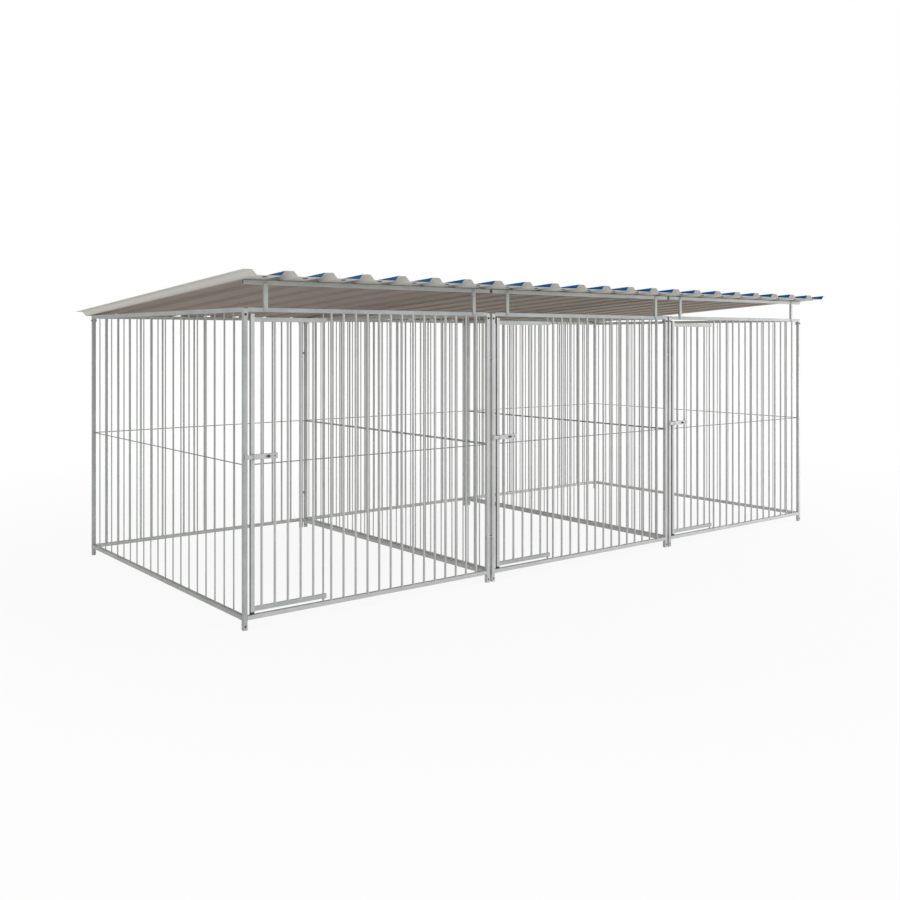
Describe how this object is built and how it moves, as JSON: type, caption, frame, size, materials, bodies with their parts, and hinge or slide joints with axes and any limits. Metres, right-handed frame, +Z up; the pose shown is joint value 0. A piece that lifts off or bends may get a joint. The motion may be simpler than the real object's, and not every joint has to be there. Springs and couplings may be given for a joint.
{
  "type": "outdoor dog kennel run",
  "caption": "Outdoor dog kennel run of barred galvanised bays side by side, each with a hinged front door and a slide latch, under a sloping ribbed roof.",
  "frame": {"origin": "middle of the footprint of the whole run, roof included, on the ground", "axes": "+X along the row of bays to the right of someone facing the doors, +Y from the doors to the back, +Z up"},
  "size_m": [5.64, 2.762, 2.0008],
  "materials": {
    "galvanised_steel": "satin hot-dip zinc",
    "zinc_plated_steel": "satin",
    "coated_sheet": "semi-gloss coil coating",
    "black_plastic": "matte"
  },
  "bodies": {
    "kennel": {"bay1_left_panel": "galvanised_steel", "bay1_right_panel": "galvanised_steel", "bay1_back_panel": "galvanised_steel", "bay1_head_rail": "galvanised_steel", "bay1_sill_rail": "galvanised_steel", "bay1_front_grille": "galvanised_steel", "bay1_hinge_rod": "zinc_plated_steel", "bay1_keeper": "zinc_plated_steel", "bay1_roof_bearer": "galvanised_steel", "bay1_roof_struts": "galvanised_steel", "bay2_left_panel": "galvanised_steel", "bay2_right_panel": "galvanised_steel", "bay2_back_panel": "galvanised_steel", "bay2_head_rail": "galvanised_steel", "bay2_sill_rail": "galvanised_steel", "bay2_front_grille": "galvanised_steel", "bay2_hinge_rod": "zinc_plated_steel", "bay2_keeper": "zinc_plated_steel", "bay2_roof_bearer": "galvanised_steel", "bay2_roof_struts": "galvanised_steel", "bay3_left_panel": "galvanised_steel", "bay3_right_panel": "galvanised_steel", "bay3_back_panel": "galvanised_steel", "bay3_head_rail": "galvanised_steel", "bay3_sill_rail": "galvanised_steel", "bay3_front_grille": "galvanised_steel", "bay3_hinge_rod": "zinc_plated_steel", "bay3_keeper": "zinc_plated_steel", "bay3_roof_bearer": "galvanised_steel", "bay3_roof_struts": "galvanised_steel", "roof_sheet_1": "coated_sheet", "roof_sheet_2": "coated_sheet", "roof_sheet_3": "coated_sheet", "roof_sheet_4": "coated_sheet", "roof_sheet_5": "coated_sheet", "roof_sheet_6": "coated_sheet", "panel_bolts": "zinc_plated_steel", "strut_bolts": "zinc_plated_steel", "coupling_bolts": "zinc_plated_steel", "coupling_spacers": "zinc_plated_steel", "nuts": "zinc_plated_steel", "roof_screws": "zinc_plated_steel", "roof_plugs": "black_plastic"},
    "door_1": {"bay1_door_panel": "galvanised_steel", "bay1_door_glide": "black_plastic", "bay1_latch_case": "zinc_plated_steel"},
    "latch_1": {"bay1_latch_bolt": "zinc_plated_steel", "bay1_latch_knob": "black_plastic"},
    "door_2": {"bay2_door_panel": "galvanised_steel", "bay2_door_glide": "black_plastic", "bay2_latch_case": "zinc_plated_steel"},
    "latch_2": {"bay2_latch_bolt": "zinc_plated_steel", "bay2_latch_knob": "black_plastic"},
    "door_3": {"bay3_door_panel": "galvanised_steel", "bay3_door_glide": "black_plastic", "bay3_latch_case": "zinc_plated_steel"},
    "latch_3": {"bay3_latch_bolt": "zinc_plated_steel", "bay3_latch_knob": "black_plastic"}
  },
  "joints": [
    {"name": "door_1_hinge", "type": "hinge", "parent": "kennel", "child": "door_1", "pos_m": [-2.2005, -1.16849, 0.963], "axis": [0, 0, 1], "range_deg": [0, 120]},
    {"name": "latch_1_slide", "type": "slide", "parent": "door_1", "child": "latch_1", "axis": [1, 0, 0], "range_m": [-0.012, 0.04]},
    {"name": "door_2_hinge", "type": "hinge", "parent": "kennel", "child": "door_2", "pos_m": [-0.3805, -1.16849, 0.963], "axis": [0, 0, 1], "range_deg": [0, 120]},
    {"name": "latch_2_slide", "type": "slide", "parent": "door_2", "child": "latch_2", "axis": [1, 0, 0], "range_m": [-0.012, 0.04]},
    {"name": "door_3_hinge", "type": "hinge", "parent": "kennel", "child": "door_3", "pos_m": [1.4395, -1.16849, 0.963], "axis": [0, 0, 1], "range_deg": [0, 120]},
    {"name": "latch_3_slide", "type": "slide", "parent": "door_3", "child": "latch_3", "axis": [1, 0, 0], "range_m": [-0.012, 0.04]}
  ]
}
